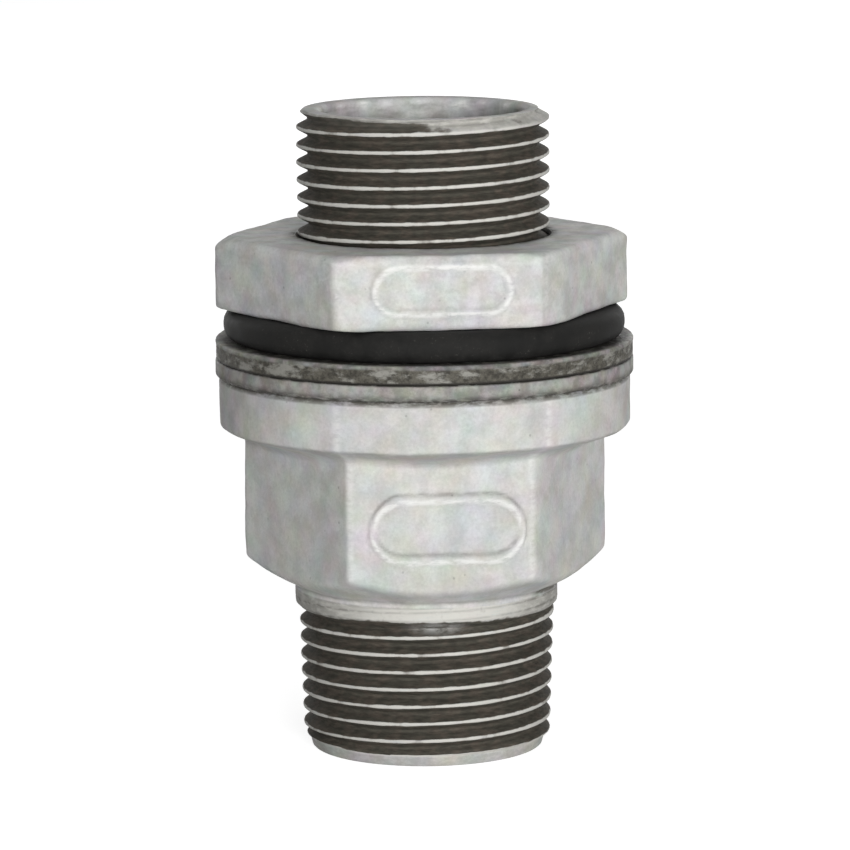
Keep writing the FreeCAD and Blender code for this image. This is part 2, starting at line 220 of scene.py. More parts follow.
CAST_ROUND = 0.7
FRONT = 1.5 * pi


def smooth_min(a, b, blend):
    """The smaller of two heights, with the crossing rounded over the blend."""
    near = np.maximum(blend - np.abs(a - b), 0) / blend
    return np.minimum(a, b) - near * near * blend / 4


def smooth_max(a, b, blend):
    """The larger of two heights, with the crossing filled over the blend."""
    return -smooth_min(-np.asarray(a), -np.asarray(b), blend)


def fade(value, start, end):
    """0 before the start and 1 after the end, easing in between."""
    share = np.clip((value - start) / (end - start), 0, 1)
    return share * share * (3 - 2 * share)


def line_at(value, middle, width):
    """1 on a line and 0 away from it, for a narrow band of grime or painted shade."""
    return np.exp(-(((value - middle) / width) ** 2))


def steps(start, end, size):
    """Evenly spaced values from start to end, no further apart than size."""
    return np.linspace(start, end, int(np.ceil(abs(end - start) / size)) + 1)


def hexagon_radius(angle, apothem, rounding, clocking=0.0):
    """How far out a hexagon's surface is at an angle, with a flat facing -Y at clocking 0."""
    sixth = pi / 3
    off_flat = (angle + pi / 2 - clocking + sixth / 2) % sixth - sixth / 2
    off_corner = sixth / 2 - abs(off_flat)
    centre = (apothem - rounding) / cos(sixth / 2)
    tangent = atan(rounding * sin(sixth / 2) / (centre + rounding * cos(sixth / 2)))
    if off_corner > tangent:
        return apothem / cos(off_flat)
    return centre * cos(off_corner) + sqrt(rounding**2 - (centre * sin(off_corner)) ** 2)


def bead_height(across, up, reach, radius, height, width):
    """A raised line round a capsule: two level runs joined by half circles, about a middle."""
    past_end = np.maximum(np.abs(across) - reach, 0)
    share = np.clip(np.abs(np.hypot(past_end, up) - radius) / (width / 2), 0, 1)
    return height * (1 - share**2) ** 2 * (1 + 0.6 * share**2)


def bead_shade_and_highlight(across, up, reach, radius, rise, amount):
    """Painted shade just above a bead, and a painted highlight on its lower side, which counts as below 0.
    """
    above = bead_height(across, up - rise, reach, radius, 1, 0.8)
    below = bead_height(across, up + 0.3, reach, radius, 1, 1.4)
    return amount * above - 0.6 * below


def rubbed_corner_highlight(angle, clocking=0.0):
    """Painted highlights on a hexagon's corners, partly where spanners have rubbed them bright, as an
    amount below 0.
    """
    sixth = pi / 3
    off_corner = (angle + pi / 2 - clocking) % sixth - sixth / 2
    return -0.4 * line_at(off_corner, 0, radians(1.6))


# Degrees between the columns of a hexagonal piece: all round, over its front flat, from a fine
# column to the next even one, and at the very least. Each corner has a fan of its own.
EVEN_STEP = 2.8
FRONT_STEP = 0.62
STEP_ROOM = 0.55
LEAST_STEP = 0.2
CORNER_FAN = (-2.3, -1.45, -0.75, 0, 0.75, 1.45, 2.3)


def columns(clocking, front_width):
    """Angles round the axis: even steps, finer at the hexagon's corners and over the front flat."""
    even = np.radians(np.arange(0, 360, EVEN_STEP))
    corners = np.radians([60 * k + offset for k in range(6) for offset in CORNER_FAN]) + clocking
    front = np.radians(np.arange(-90 - front_width, -90 + front_width, FRONT_STEP)) + clocking
    angles = np.concatenate([corners, front])
    room = np.radians(STEP_ROOM)
    far = [a for a in even if np.min(np.abs((angles - a + pi) % (2 * pi) - pi)) > room]
    angles = np.sort(np.concatenate([angles, far]) % (2 * pi))
    return angles[np.append(np.diff(angles) > np.radians(LEAST_STEP), True)]


# One turn of a thread is followed by these rows, by their height from the middle of the groove.
THREAD_ROWS = (-0.985, -0.855, -0.34, -0.2, 0, 0.2, 0.34, 0.855, 0.985, THREAD_PITCH / 2)


def thread_levels(angle, groove, low, high, room=0.07):
    """Heights of the rows of a right-hand thread between two ends, by its groove's height on +X."""
    first = int((low - groove) / THREAD_PITCH) - 2
    last = int((high - groove) / THREAD_PITCH) + 2
    turns = groove + THREAD_PITCH * (angle / (2 * pi) + np.arange(first, last + 1))
    levels = np.add.outer(turns, THREAD_ROWS).ravel()
    inside = levels[(levels > low + room) & (levels < high - room)]
    return np.concatenate([[low], inside, [high]])


def groove_wall(height, angle, groove):
    """How far a groove's walls stand above its root at a height, and how many turns up it is."""
    turns = (height - groove) / THREAD_PITCH - angle / (2 * pi)
    nearest = np.round(turns)
    off = np.abs(turns - nearest) * THREAD_PITCH
    return smooth_max((off - ROOT_WIDTH / 2) / FLANK, 0, THREAD_ROUND), nearest + angle / (2 * pi)


# Where each groove crosses +X. The barrel's leaves through the end face after its last turn. The
# taper's rises out of the metal at the neck: first its upper wall leans back, then its floor rises.
# The depth that the barrel's mesh keeps stays under a limit, and a lower one where its wall is pale.
BARREL_GROOVE = TOP - 1.19 - 13.5 * THREAD_PITCH
BARREL_TURNS = 13.68
BARREL_THREAD_START = FLANGE_TOP + 1.4
BARREL_THREAD_FULL = FLANGE_TOP + 3.4
TAPER_GROOVE = 1.9 - 1.5 * THREAD_PITCH
WALL_TURN = 8.35
WALL_END = 9.15
FLOOR_TURN = 8.85
FLOOR_RISE = 2.75
PAST_THREAD = 3
BARE_LIMIT = 0.6
PALE_LIMIT = 0.03


def barrel_profile(angle, height):
    """The barrel's radius and the depth of its bare cut: its thread fades out under the washers.

    At the open end the groove runs out through the end face, and there its wall is pale.
    """
    shaft = smooth_min(BARREL_RADIUS, BARREL_RADIUS + (TOP - END_CHAMFER - height), 0.2)
    wall, turns = groove_wall(height, angle, BARREL_GROOVE)
    plain = PAST_THREAD * (1 - fade(height, BARREL_THREAD_START, BARREL_THREAD_FULL))
    radius = smooth_min(shaft, BARREL_RADIUS - THREAD_DEPTH + wall + plain, THREAD_ROUND)
    pale = fade(height, TOP - 0.85, TOP - 0.4) * fade(turns, BARREL_TURNS - 0.12, BARREL_TURNS - 0.02)
    pale = np.maximum(pale, fade(turns, BARREL_TURNS - 0.12, BARREL_TURNS + 0.12))
    return radius, np.minimum(shaft - radius, BARE_LIMIT - (BARE_LIMIT - PALE_LIMIT) * pale)


def taper_profile(angle, height):
    """The radius of the nose, taper thread and neck, and the depth of the thread's bare cut."""
    nose = NOSE_RADIUS + height * NOSE_FLARE / NOSE_LENGTH
    flare = nose + (height - NOSE_LENGTH) * NOSE_SPREAD
    taper = TAPER_END_RADIUS + height * TAPER_SLOPE
    share = np.clip((height - TAPER_LENGTH) / (NECK_SHOULDER - TAPER_LENGTH), 0, 1)
    neck = smooth_min(taper + share * NECK_STEP, NECK_RADIUS, 0.05)
    shaft = np.where(height < NOSE_LENGTH, nose, smooth_min(flare, neck, 0.15))
    wall, turns = groove_wall(height, angle, TAPER_GROOVE)
    plain = PAST_THREAD * (1 - fade(height, NOSE_LENGTH + 0.1, NOSE_LENGTH + 0.45))
    floor = taper - THREAD_DEPTH + FLOOR_RISE * np.maximum(turns - FLOOR_TURN, 0) + plain
    drop = 1.3 * fade(turns, WALL_TURN + 0.25, WALL_END)
    above = TAPER_GROOVE + THREAD_PITCH * turns + 1.21 - drop - height
    eased = NECK_RADIUS - above * (1 - 0.25 * fade(turns, WALL_TURN, WALL_TURN + 0.4)) / FLANK
    groove = np.where(turns > WALL_TURN, smooth_max(floor + wall, eased, 0.2), floor + wall)
    radius = smooth_min(shaft, groove, THREAD_ROUND)
    return radius, np.where(height < NOSE_LENGTH + 0.05, 0, shaft - radius)


# A raised capsule outline lies on the front flat, and spanners have worn one corner beside it.
CAPSULE_HEIGHT = 9.3
CAPSULE_MARGIN = 1.77
CAPSULE_SHIFT = 0.8
CAPSULE_RISE = 0.04
CAPSULE_REACH = HEXAGON_APOTHEM * tan(pi / 6) - CAPSULE_MARGIN - CAPSULE_HEIGHT / 2
CAPSULE_MIDDLE = (CONE_FOOT + HEXAGON_WALL * CONE_SLOPE + UNDERSIDE_FOOT) / 2 + CAPSULE_RISE
BEAD_INSET = 0.7
BEAD_HEIGHT = 0.42
BEAD_WIDTH = 1.8
WORN_CORNER = 23.5
WORN_WAY = radians(-60)
# The way round the cone's foot where its painted shade is darkest.
SHADED_WAY = radians(-20)
FLANGE_FOOT_ROUND = 1.6


def hexagon_profile(angle, height):
    """The cone, the spanner hexagon with its bead and the flange's underside, and their painted shade and
    highlights.
    """
    flat = hexagon_radius(angle, HEXAGON_APOTHEM, HEXAGON_ROUND)
    flat = smooth_min(flat, WORN_CORNER / max(cos(angle - WORN_WAY), 0.1), 0.4)
    # Painted highlight: a bright line down each corner of the hexagon, partly spanner wear.
    dirt_and_painted_light = rubbed_corner_highlight(angle) * fade(height, CONE_FOOT + 2.5, CONE_FOOT + 4)
    if abs(angle - FRONT) < radians(29):
        across = HEXAGON_APOTHEM * tan(angle - FRONT) - CAPSULE_SHIFT
        up = height - CAPSULE_MIDDLE
        line = CAPSULE_HEIGHT / 2 - BEAD_INSET
        flat = flat + bead_height(across, up, CAPSULE_REACH, line, BEAD_HEIGHT, BEAD_WIDTH)
        # Painted shade above the capsule's bead and a painted highlight on its lower side.
        dirt_and_painted_light = dirt_and_painted_light + bead_shade_and_highlight(across, up, CAPSULE_REACH, line, rise=0.75, amount=0.4)
    cone = smooth_max(NECK_RADIUS, NECK_RADIUS + (height - CONE_FOOT) / CONE_SLOPE, 0.6)
    body = smooth_min(flat, cone, 2 * CAST_ROUND)
    slope = (FLANGE_RADIUS - CORE_RADIUS) / (FLANGE_BOTTOM - UNDERSIDE_FOOT)
    underside = CORE_RADIUS + (height - UNDERSIDE_FOOT) * slope
    flange = smooth_min(FLANGE_RADIUS, underside, FLANGE_FOOT_ROUND)
    # Painted shade: dark bands under the flange's foot and round the cone's foot, darkest on one side of
    # the front.
    dirt_and_painted_light = dirt_and_painted_light + 0.3 * line_at(height, FLANGE_BOTTOM, 0.22)
    dirt_and_painted_light = dirt_and_painted_light + 0.35 * line_at(height, CONE_FOOT, 0.25)
    dirt_and_painted_light = dirt_and_painted_light + line_at(height, CONE_FOOT, 0.6) * fade(cos(angle - SHADED_WAY), 0.9, 0.98)
    return smooth_max(body, flange, UNDERSIDE_FILLET), np.clip(dirt_and_painted_light, -1, 1)


def strip(points, cut=-1.0, dirt_and_painted_light=0.0, skin=1.0):
    """Rows of an outline: radius, height, depth of cut, grime with painted light, and how uneven the
    surface is.
    """
    radii, heights = np.asarray(points, float).T
    return np.column_stack(np.broadcast_arrays(radii, heights, cut, dirt_and_painted_light, skin))


def outline(*parts):
    """One closed outline with a key for each row: counted, or by height where a thread slides."""
    keyed, key = [], 0
    for sliding, rows in parts:
        if sliding:
            keys = key + (rows[:, 1] - rows[0, 1]) / (rows[-1, 1] - rows[0, 1])
            key += 2
        else:
            keys = key + np.arange(len(rows))
            key += len(rows)
        keyed.append(np.column_stack([keys, rows]))
    return np.concatenate(keyed)


def sew(here, there):
    """Faces between two closed columns: a quad where their keys agree, else a triangle."""
    (a_first, a), (b_first, b) = here, there
    end = max(a[-1], b[-1]) + 1
    a_count, b_count = len(a), len(b)
    a, b = [*a, end, end + 1], [*b, end, end + 1]
    faces = []
    i = j = 0
    while i < a_count or j < b_count:
        below = (a_first + i % a_count, b_first + j % b_count)
        a_above = a_first + (i + 1) % a_count
        b_above = b_first + (j + 1) % b_count
        if abs(a[i + 1] - b[j + 1]) < 0.002:
            faces.append((*below, b_above, a_above))
            i, j = i + 1, j + 1
        elif a[i + 1] < b[j + 1]:
            faces.append((*below, a_above))
            i += 1
        else:
            faces.append((*below, b_above))
            j += 1
    return faces


def roughen(mesh, skin, waves, seed):
    """Moves each point along its normal by smooth noise, as much as its skin is uneven.

    Each wave is the size of its swells and how far they move the surface.
    """
    points = np.empty(len(mesh.vertices) * 3, np.float32)
    mesh.vertices.foreach_get("co", points)
    points = points.reshape(-1, 3)
    normals = np.empty(len(mesh.vertices) * 3, np.float32)
    mesh.vertex_normals.foreach_get("vector", normals)
    shift = np.zeros(len(points))
    for size, amount in waves:
        start = Vector((seed * 7.3, seed * 3.1, seed))
        shift += amount * np.array([noise.noise(Vector(p) / (size * MM) + start) for p in points])
    points += normals.reshape(-1, 3) * (shift * skin * MM)[:, None]
    mesh.vertices.foreach_set("co", points.ravel())


def ring(name, angles, section, waves, seed):
    """A piece sewn from its outline at each angle; the mesh keeps each point's cut, and its grime with
    painted light.
    """
    outlines = [section(angle) for angle in angles]
    starts = np.cumsum([0, *(len(rows) for rows in outlines)])
    sections = [(start, rows[:, 0].tolist()) for start, rows in zip(starts.tolist(), outlines)]
    faces = []
    for here, there in zip(sections, sections[1:] + sections[:1]):
        faces += sew(here, there)
    rows = np.concatenate(outlines)
    turn = np.repeat(angles, [len(rows) for rows in outlines])
    points = np.column_stack([rows[:, 1] * np.cos(turn), rows[:, 1] * np.sin(turn), rows[:, 2]]) * MM
    mesh = bpy.data.meshes.new(name)
    mesh.from_pydata(points, [], faces)
    mesh.shade_smooth()
    roughen(mesh, rows[:, 5], waves, seed)
    for label, column in (("cut", 3), ("dirt_and_painted_light", 4)):
        layer = mesh.attributes.new(label, "FLOAT", "POINT")
        layer.data.foreach_set("value", rows[:, column].astype(np.float32))
    piece = bpy.data.objects.new(name, mesh)
    scene.collection.objects.link(piece)
    return piece


# Rows lie close over the cone, the bead and the foot of the flange, and wide where nothing bends.
CONE_TOP = 27
BEAD_TOP = 38
FOOT_LOW = 40.7
FOOT_TOP = 44.2
hexagon_heights = np.concatenate([
    steps(NECK_SHOULDER + 2, CONE_TOP, 0.2), steps(CONE_TOP + 0.25, BEAD_TOP, 0.26),
    steps(BEAD_TOP + 0.3, FOOT_LOW - 0.2, 0.4), steps(FOOT_LOW, FOOT_TOP, 0.13),
    steps(FOOT_TOP + 0.5, FLANGE_TOP - FLANGE_ROUND, 0.6)])
quarter = np.radians(steps(15, 90, 15))
rim_radii = FLANGE_RADIUS - FLANGE_ROUND * (1 - np.cos(quarter))
rim_heights = FLANGE_TOP - FLANGE_ROUND * (1 - np.sin(quarter))
# Painted shade on the flange's rounded rim, where the thin washer sits on it.
rim_shade = 0.88 * line_at(np.sin(quarter), 1, 0.95)
flange_rim = strip(np.column_stack([rim_radii, rim_heights]), dirt_and_painted_light=rim_shade, skin=0.5)
flange_face = strip([(r, FLANGE_TOP) for r in steps(FLANGE_RADIUS - 1.6, BARREL_RADIUS + 0.6, 1.6)], skin=0)
barrel_foot = strip([(BARREL_RADIUS, FLANGE_TOP), (BARREL_RADIUS, FLANGE_TOP + 0.6)], skin=0)
bore_heights = np.concatenate([
    steps(TOP - BORE_CHAMFER, TOP - 14, 0.5), steps(TOP - 15, BORE_CHAMFER, 2.4)])
lower_face = strip([(BORE_EDGE, 0), (NOSE_RADIUS - 0.7, 0), (NOSE_RADIUS - 0.12, 0)], skin=0)
nose = strip(
    [(NOSE_RADIUS + z * NOSE_FLARE / NOSE_LENGTH, z) for z in (0.15, 0.65, 1.15)], dirt_and_painted_light=0.25, skin=0.3)


def casting_section(angle):
    """The casting's outline at an angle, from the nose up the outside and down the bore."""
    heights = thread_levels(angle, TAPER_GROOVE, NOSE_LENGTH - 0.1, NECK_SHOULDER + 1.8)
    radii, cut = taper_profile(angle, heights)
    turns = (heights - TAPER_GROOVE) / THREAD_PITCH - angle / (2 * pi)
    # On the neck above the taper thread: dark stripes that follow the thread, painted shade on its sides
    # and a painted highlight in front.
    dirt_and_painted_light = 0.3 * np.cos(4 * pi * turns) ** 2 + 0.42 * fade(abs(cos(angle)), 0.35, 0.9)
    dirt_and_painted_light = dirt_and_painted_light * fade(heights, TAPER_LENGTH - 0.6, NECK_SHOULDER)
    dirt_and_painted_light = dirt_and_painted_light - 0.4 * line_at(heights, TAPER_LENGTH - 0.4, 0.9) * line_at(angle, FRONT, 0.25)
    taper = strip(np.column_stack([radii, heights]), cut=cut, dirt_and_painted_light=dirt_and_painted_light, skin=0.5)
    radii, dirt_and_painted_light = hexagon_profile(angle, hexagon_heights)
    hexagon = strip(np.column_stack([radii, hexagon_heights]), dirt_and_painted_light=dirt_and_painted_light)
    heights = thread_levels(angle, BARREL_GROOVE, FLANGE_TOP + 0.7, TOP - 0.02)
    radii, cut = barrel_profile(angle, heights)
    # The barrel's outside is darker towards the open end.
    lip_darkening = 0.4 * fade(heights, TOP - 1.6, TOP - 1)
    barrel = strip(np.column_stack([radii, heights]), cut=cut, dirt_and_painted_light=lip_darkening, skin=0.5)
    rim = min(BARREL_RADIUS - END_CHAMFER, radii[-1])
    end_face = strip([(r, TOP) for r in (rim, rim - 0.3, BORE_EDGE + 0.4, BORE_EDGE)], dirt_and_painted_light=0.14, skin=0)
    # Random blots in the bore: dark ones, and bright ones that are painted glints.
    blots = [noise.noise(Vector((7 * cos(angle), 7 * sin(angle), 0.9 * z))) for z in bore_heights]
    bore_blots_and_glints = np.clip(1.2 * np.array(blots) - 0.05, -0.8, 0.25)
    bore = strip([(BORE_RADIUS, z) for z in bore_heights], dirt_and_painted_light=bore_blots_and_glints)
    return outline(
        (False, nose), (True, taper), (False, hexagon), (False, flange_rim), (False, flange_face),
        (False, barrel_foot), (True, barrel), (False, end_face), (False, bore), (False, lower_face))


def node(tree, kind, inputs=None, **settings):
    """A shader node with its settings; each input is given a value or linked to a socket."""
    made = tree.nodes.new("ShaderNode" + kind)
    for name, value in settings.items():
        setattr(made, name, value)
    for name, value in (inputs or {}).items():
        if isinstance(value, bpy.types.NodeSocket):
            tree.links.new(value, made.inputs[name])
        else:
            made.inputs[name].default_value = value
    return made


def math(tree, operation, a, b=0.0, clamp=False):
    """The result of a sum on two values or sockets."""
    return node(tree, "Math", {0: a, 1: b}, operation=operation, use_clamp=clamp).outputs[0]


def ramp(tree, value, low, high, to_low=0.0, to_high=1.0, kind="SMOOTHSTEP"):
    """A value spread from one range onto another, held at both ends."""
    inputs = {"Value": value, "From Min": low, "From Max": high, "To Min": to_low, "To Max": to_high}
    return node(tree, "MapRange", inputs, interpolation_type=kind).outputs[0]


def mix(tree, share, a, b, blend="MIX"):
    """Two colours mixed by a share."""
    made = node(tree, "Mix", {"Factor": share}, data_type="RGBA", blend_type=blend)
    for socket, value in ((made.inputs[6], a), (made.inputs[7], b)):
        if isinstance(value, bpy.types.NodeSocket):
            tree.links.new(value, socket)
        else:
            socket.default_value = value
    return made.outputs[2]


def grey(tree, level):
    """A level as a grey colour, to darken or lighten another one."""
    return node(tree, "CombineColor", {"Red": level, "Green": level, "Blue": level}).outputs[0]


def grains(tree, size, detail=2.0, stretch=(1, 1, 1), rough=0.55):
    """Noise whose grains are about a size in millimetres, fixed to the piece."""
    place = node(tree, "TexCoord").outputs["Object"]
    scaled = node(tree, "Mapping", {"Vector": place, "Scale": stretch}).outputs[0]
    if isinstance(size, bpy.types.NodeSocket):
        scale = math(tree, "DIVIDE", 1 / MM, size)
    else:
        scale = 1 / (size * MM)
    inputs = {"Vector": scaled, "Scale": scale, "Detail": detail, "Roughness": rough}
    return node(tree, "TexNoise", inputs)


def effect(name, inputs, outputs):
    """An empty node group with its sockets, and its two end nodes."""
    group = bpy.data.node_groups.new(name, "ShaderNodeTree")
    for direction_of, sockets in (("INPUT", inputs), ("OUTPUT", outputs)):
        for label, kind, value in sockets:
            socket = group.interface.new_socket(label, in_out=direction_of, socket_type="NodeSocket" + kind)
            socket.default_value = value
    return group, group.nodes.new("NodeGroupInput").outputs, group.nodes.new("NodeGroupOutput").inputs


GREY = (0.5, 0.5, 0.5, 1)
PITS_PER_METRE = 620

# Zinc from the dip: pale and dull patches, fine specks, faint warm and cool tints and small pits.
zinc_skin, given, wanted = effect(
    "zinc_skin",
    [("Pale", "Color", GREY), ("Dull", "Color", GREY), ("Patch Size", "Float", 3.0),
     ("Pitting", "Float", 0.5)],
    [("Color", "Color", GREY), ("Roughness", "Float", 0.5), ("Height", "Float", 0.0)])
patches = grains(zinc_skin, given["Patch Size"], detail=5, rough=0.62)
patch = ramp(zinc_skin, patches.outputs["Fac"], 0.36, 0.64)
specks = grains(zinc_skin, 0.42, detail=3, rough=0.7).outputs["Fac"]
tints = grains(zinc_skin, math(zinc_skin, "MULTIPLY", given["Patch Size"], 1.3), detail=2).outputs["Color"]
place = node(zinc_skin, "TexCoord").outputs["Object"]
cells = node(zinc_skin, "TexVoronoi", {"Vector": place, "Scale": PITS_PER_METRE})
pits = ramp(zinc_skin, cells.outputs["Distance"], 0.04, 0.15, 1, 0)
chance = node(zinc_skin, "SeparateColor", {"Color": cells.outputs["Color"]}).outputs[0]
pits = math(zinc_skin, "MULTIPLY", pits, ramp(zinc_skin, chance, 0.7, 0.85))
pits = math(zinc_skin, "MULTIPLY", pits, given["Pitting"])
tone = mix(zinc_skin, patch, given["Dull"], given["Pale"])
tone = mix(zinc_skin, 0.3, tone, tints, "SOFT_LIGHT")
shade = ramp(zinc_skin, specks, 0.3, 0.7, 0.91, 1.07, "LINEAR")
shade = math(zinc_skin, "MULTIPLY", shade, math(zinc_skin, "SUBTRACT", 1, pits))
zinc_skin.links.new(mix(zinc_skin, 1, tone, grey(zinc_skin, shade), "MULTIPLY"), wanted["Color"])
zinc_skin.links.new(ramp(zinc_skin, patches.outputs["Fac"], 0.3, 0.7, 0.72, 0.58), wanted["Roughness"])
relief = math(zinc_skin, "ADD", math(zinc_skin, "MULTIPLY", patches.outputs["Fac"], 1.6), specks)
relief = math(zinc_skin, "SUBTRACT", relief, math(zinc_skin, "MULTIPLY", pits, 1.5))
zinc_skin.links.new(relief, wanted["Height"])

# A thread cut through the zinc: dark oily iron in the groove, with turning lines along it, and a
# crest that is rubbed bright. Depth is in millimetres below the crest, and below 0 off the thread.
cut_thread, given, wanted = effect(
    "cut_thread",
    [("Skin", "Color", GREY), ("Crest", "Color", GREY), ("Iron", "Color", GREY), ("Rust", "Color", GREY),
     ("Depth", "Float", -1.0)],
    [("Color", "Color", GREY), ("Bare", "Float", 0.0), ("Height", "Float", 0.0)])
chatter = grains(cut_thread, 0.9, detail=4, stretch=(0.6, 0.6, 3.5), rough=0.6).outputs["Fac"]
stains = grains(cut_thread, 2.0, detail=3).outputs["Fac"]
wander = math(cut_thread, "MULTIPLY", math(cut_thread, "SUBTRACT", stains, 0.5), 0.34)
bare = ramp(cut_thread, math(cut_thread, "ADD", given["Depth"], wander), 0.03, 0.15)
on_crest = ramp(cut_thread, given["Depth"], -0.12, -0.02)
iron = mix(cut_thread, ramp(cut_thread, stains, 0.42, 0.62), given["Iron"], given["Rust"])
lift = ramp(cut_thread, chatter, 0.35, 0.68, 0.7, 1.35, "LINEAR")
iron = mix(cut_thread, 1, iron, grey(cut_thread, lift), "MULTIPLY")
rubbed = math(cut_thread, "MULTIPLY", on_crest, ramp(cut_thread, chatter, 0.3, 0.55, 0.35, 1))
uncut = mix(cut_thread, rubbed, given["Skin"], given["Crest"])
cut_thread.links.new(mix(cut_thread, bare, uncut, iron), wanted["Color"])
cut_thread.links.new(bare, wanted["Bare"])
cut_thread.links.new(math(cut_thread, "MULTIPLY", chatter, bare), wanted["Height"])

# Grey-brown dirt that has settled in creases, with painted shade in creases and between parts, patchy
# along them. An amount below 0 is a painted highlight, partly a raised place that hands and spanners
# have rubbed bright.
dirt_shade_and_sheen, given, wanted = effect(
    "dirt_shade_and_sheen",
    [("Clean", "Color", GREY), ("Dirt And Shade", "Color", GREY), ("Rubbed And Highlight", "Color", GREY),
     ("Amount", "Float", 0.0)],
    [("Color", "Color", GREY), ("Covered", "Float", 0.0)])
streaks = grains(dirt_shade_and_sheen, 1.3, detail=4, stretch=(0.7, 0.7, 2.2), rough=0.65).outputs["Fac"]
broken = ramp(dirt_shade_and_sheen, streaks, 0.32, 0.6, 0.45, 1.25)
covered = math(dirt_shade_and_sheen, "MULTIPLY", given["Amount"], broken, clamp=True)
rubbed = ramp(dirt_shade_and_sheen, math(dirt_shade_and_sheen, "MULTIPLY", given["Amount"], broken), 0, -1)
bright = mix(dirt_shade_and_sheen, rubbed, given["Clean"], given["Rubbed And Highlight"])
dirt_shade_and_sheen.links.new(mix(dirt_shade_and_sheen, covered, bright, given["Dirt And Shade"]), wanted["Color"])
dirt_shade_and_sheen.links.new(covered, wanted["Covered"])


def new_material(name):
    """An empty material, its tree and its shader."""
    material = bpy.data.materials.new(name)
    material.use_nodes = True
    return material, material.node_tree, material.node_tree.nodes["Principled BSDF"]


def channel(tree, name):
    """What the mesh keeps for each point under a name."""
    return node(tree, "Attribute", attribute_name=name, attribute_type="GEOMETRY").outputs["Fac"]


def with_dirt_and_painted_light(tree, clean, dirt_and_painted_light, rubbed):
    """A clean colour with the grime, painted shade and painted highlights that the mesh asks for."""
    inputs = {"Clean": clean, "Dirt And Shade": dirt_and_painted_light, "Rubbed And Highlight": rubbed, "Amount": channel(tree, "dirt_and_painted_light")}
    return node(tree, "Group", inputs, node_tree=dirt_shade_and_sheen).outputs["Color"]


def coat(tree, shader, colour, roughness, relief, strength, depth, gloss=0.15):
    """Lays a finish on its shader: colour, roughness, relief to a depth in metres, faint gloss."""
    bump = node(tree, "Bump", {"Strength": strength, "Distance": depth, "Height": relief})
    tree.links.new(colour, shader.inputs["Base Color"])
    tree.links.new(roughness, shader.inputs["Roughness"])
    tree.links.new(bump.outputs["Normal"], shader.inputs["Normal"])
    shader.inputs["Specular IOR Level"].default_value = gloss


# Colours for dirt with painted shade, and for rubbed places with painted highlights.
CAST_DIRT_AND_SHADE = (0.12, 0.115, 0.1, 1)
CAST_RUBBED_AND_HIGHLIGHT = (0.8, 0.8, 0.78, 1)


def dipped_and_cut(name, zinc_look, thread_look):
    """The finish of a zinc dipped casting with a thread cut in it; bare iron is oily, not glossy."""
    material, tree, shader = new_material(name)
    zinc = node(tree, "Group", zinc_look, node_tree=zinc_skin)
    cut = {"Skin": zinc.outputs["Color"], "Depth": channel(tree, "cut"), **thread_look}
    thread = node(tree, "Group", cut, node_tree=cut_thread)
    colour = with_dirt_and_painted_light(tree, thread.outputs["Color"], CAST_DIRT_AND_SHADE, CAST_RUBBED_AND_HIGHLIGHT)
    oily = math(tree, "MULTIPLY", thread.outputs["Bare"], 0.85)
    roughness = math(tree, "MAXIMUM", zinc.outputs["Roughness"], oily)
    relief = math(tree, "ADD", zinc.outputs["Height"], thread.outputs["Height"])
    coat(tree, shader, colour, roughness, relief, strength=0.5, depth=0.00009)
    return material


galvanised_iron = dipped_and_cut(
    "galvanised_iron",
    {"Pale": (0.58, 0.58, 0.565, 1), "Dull": (0.495, 0.497, 0.475, 1), "Patch Size": 3.4, "Pitting": 0.3},
    {"Crest": (0.58, 0.57, 0.53, 1), "Iron": (0.061, 0.057, 0.046, 1), "Rust": (0.08, 0.068, 0.055, 1)})

CASTING_WAVES = ((6.5, 0.16), (2.2, 0.05))
casting = ring("casting", columns(clocking=0.0, front_width=29), casting_section, CASTING_WAVES, seed=1)
casting.data.materials.append(galvanised_iron)
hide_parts("fitting_body")
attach(casting, "fitting")

# ---- Thin washer -------------------------------------------------------------------------------
# A ring punched from 2.2 mm sheet steel and zinc coated. It lies loose on the flange; its top edge
# is rolled over by the punch, and painted shade darkens its edge where it meets its neighbours. Each
# loose piece stands clear of the one below it by a little air, so that it turns free of it.
WASHER_HOLE = 17.1
THIN_ROLL = 0.4
THIN_FOOT_ROLL = 0.25
THIN_INSET = 0.04
AIR = 0.04
thin_low, thin_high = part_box("thin_washer")
thin_bottom = thin_low.z / MM + AIR
thin_top = thin_high.z / MM
thin_rim = thin_high.x / MM - THIN_INSET


def rounded_edge(rim, corner, roll, turn):
    """Points round a rolled edge between a rim and a face, going up (turn 1) or down (turn -1)."""
    quarter = np.radians(steps(0, 90, 18))
    points = [(rim - roll * (1 - cos(a)), corner - turn * roll * (1 - sin(a))) for a in quarter]
    return points if turn > 0 else points[::-1]


def face_rows(start, end, height, size=1.5):
    """Points across a flat face from one radius to another."""
    return [(r, height) for r in steps(start, end, size)]


